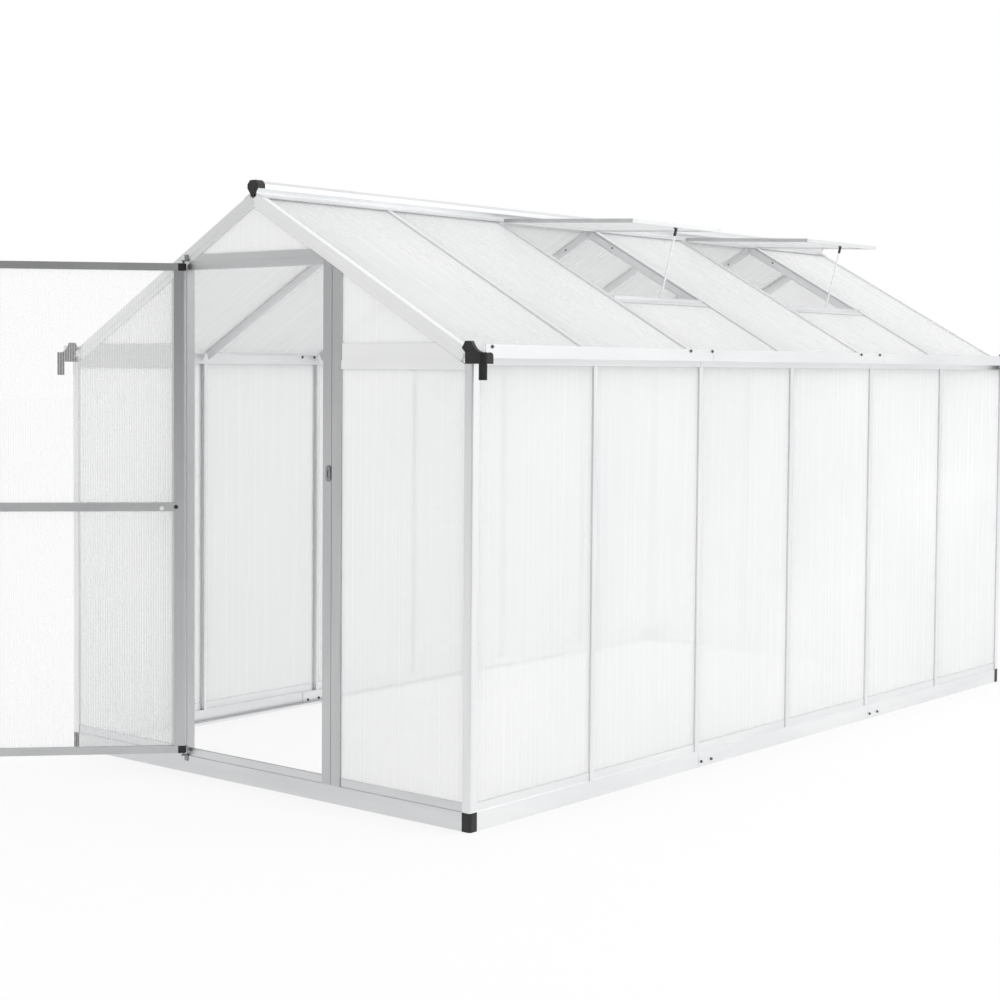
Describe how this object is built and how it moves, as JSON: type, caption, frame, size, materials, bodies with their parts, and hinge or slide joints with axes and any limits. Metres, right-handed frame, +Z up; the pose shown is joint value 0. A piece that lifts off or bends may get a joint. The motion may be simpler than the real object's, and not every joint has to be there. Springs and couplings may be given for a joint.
{
  "type": "polycarbonate greenhouse",
  "caption": "Gabled greenhouse with an aluminium frame, clear ribbed wall and roof sheets, a hinged end door and roof vents propped open.",
  "frame": {"origin": "on the ground under the middle of the front base rail, at the door gable", "axes": "+X across the gable to the right seen from outside the door, +Y along the ridge to the rear gable, +Z up"},
  "size_m": [2.025, 4.1908, 2.0013],
  "materials": {
    "aluminium": "mill finish extrusion",
    "twin_wall_sheet": "clear ribbed twin-wall sheet",
    "black_plastic": "moulded",
    "zinc_steel": "zinc plated"
  },
  "bodies": {
    "house": {"base_joiners": "aluminium", "corner_feet": "black_plastic", "door_header": "aluminium", "door_hinge_brackets": "zinc_steel", "door_jambs": "aluminium", "front_base_rail": "aluminium", "front_corner_posts": "aluminium", "front_eave_rails": "aluminium", "front_sill": "aluminium", "front_verge_bars": "aluminium", "front_wall_sheets": "twin_wall_sheet", "gutter_end_caps": "black_plastic", "latch_keep": "zinc_steel", "left_base_rail": "aluminium", "left_gutter": "aluminium", "left_roof_bars": "aluminium", "left_roof_sheets": "twin_wall_sheet", "left_wall_bars": "aluminium", "left_wall_sheets": "twin_wall_sheet", "rear_base_rail": "aluminium", "rear_corner_posts": "aluminium", "rear_eave_rails": "aluminium", "rear_gable_posts": "aluminium", "rear_sill": "aluminium", "rear_verge_bars": "aluminium", "rear_wall_sheets": "twin_wall_sheet", "ridge_beam": "aluminium", "ridge_end_caps": "black_plastic", "ridge_gussets": "aluminium", "right_base_rail": "aluminium", "right_gutter": "aluminium", "right_roof_bars": "aluminium", "right_roof_sheets": "twin_wall_sheet", "right_wall_bars": "aluminium", "right_wall_sheets": "twin_wall_sheet", "side_sills": "aluminium", "vent_frames": "aluminium", "vent_sheets": "twin_wall_sheet", "vent_sills": "aluminium", "vent_stays": "aluminium"},
    "door": {"door_free_stile": "aluminium", "door_hinge_blocks": "black_plastic", "door_hinge_stile": "aluminium", "door_knobs": "black_plastic", "door_rails": "aluminium", "door_screw_caps": "black_plastic", "door_sheets": "twin_wall_sheet"}
  },
  "joints": [
    {"name": "door_hinge", "type": "hinge", "parent": "house", "child": "door", "pos_m": [-0.328, -0.0305, 0.9], "axis": [0, 0, 1], "range_deg": [-37, 133]}
  ]
}
